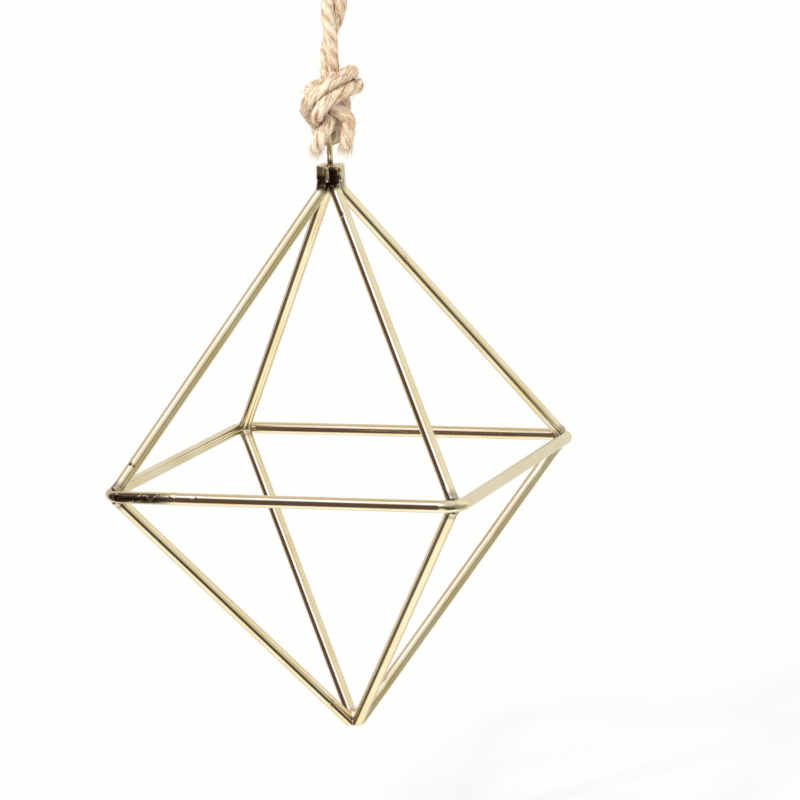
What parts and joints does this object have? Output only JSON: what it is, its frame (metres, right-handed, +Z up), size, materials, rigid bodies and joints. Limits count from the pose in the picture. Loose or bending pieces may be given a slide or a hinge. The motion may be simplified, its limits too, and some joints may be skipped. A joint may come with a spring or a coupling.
{
  "type": "hanging planter frame",
  "caption": "Open double-pyramid wire holder that hangs by an eye from a knotted length of twine.",
  "frame": {"origin": "inside of the hanging loop's top, where a hook carries it", "axes": "+Z up along the hanging frame's centre line, +X to the right and -Y towards the viewer along the middle ring's sides"},
  "size_m": [0.093, 0.0932, 0.2589],
  "materials": {
    "brass_wire": "brushed satin plating",
    "weld_metal": "bright plated weld",
    "jute_twine": "rough laid jute with short loose fibres"
  },
  "bodies": {
    "hanger": {"top_knot": "jute_twine", "hanging_loop": "jute_twine"},
    "cord": {"first_twine": "jute_twine", "second_twine": "jute_twine"},
    "knot": {"lower_knot": "jute_twine", "left_tail": "jute_twine", "right_tail": "jute_twine"},
    "frame": {"middle_ring": "brass_wire", "upper_leg_left_front": "brass_wire", "upper_leg_right_front": "brass_wire", "upper_leg_right_back": "brass_wire", "upper_leg_left_back": "brass_wire", "lower_leg_left_front": "brass_wire", "lower_leg_right_front": "brass_wire", "lower_leg_right_back": "brass_wire", "lower_leg_left_back": "brass_wire", "corner_welds_left_front": "weld_metal", "corner_welds_right_front": "weld_metal", "corner_welds_right_back": "weld_metal", "corner_welds_left_back": "weld_metal", "ring_butt_weld": "weld_metal", "bundle_welds": "weld_metal", "tip_weld": "weld_metal", "hanging_eye": "brass_wire"}
  },
  "joints": [
    {"name": "cord_sway", "type": "hinge", "parent": "hanger", "child": "cord", "pos_m": [0, 0, -0.0515], "axis": [0.342, -0.9397, 0], "range_deg": [-20, 20]},
    {"name": "cord_twist", "type": "hinge", "parent": "cord", "child": "knot", "pos_m": [0.00094, 0.00034, -0.092], "axis": [0, 0, 1], "range_deg": [-180, 180]},
    {"name": "eye_swing", "type": "hinge", "parent": "knot", "child": "frame", "pos_m": [0, 0, -0.10995], "axis": [0.9397, 0.342, 0], "range_deg": [-25, 25]}
  ]
}
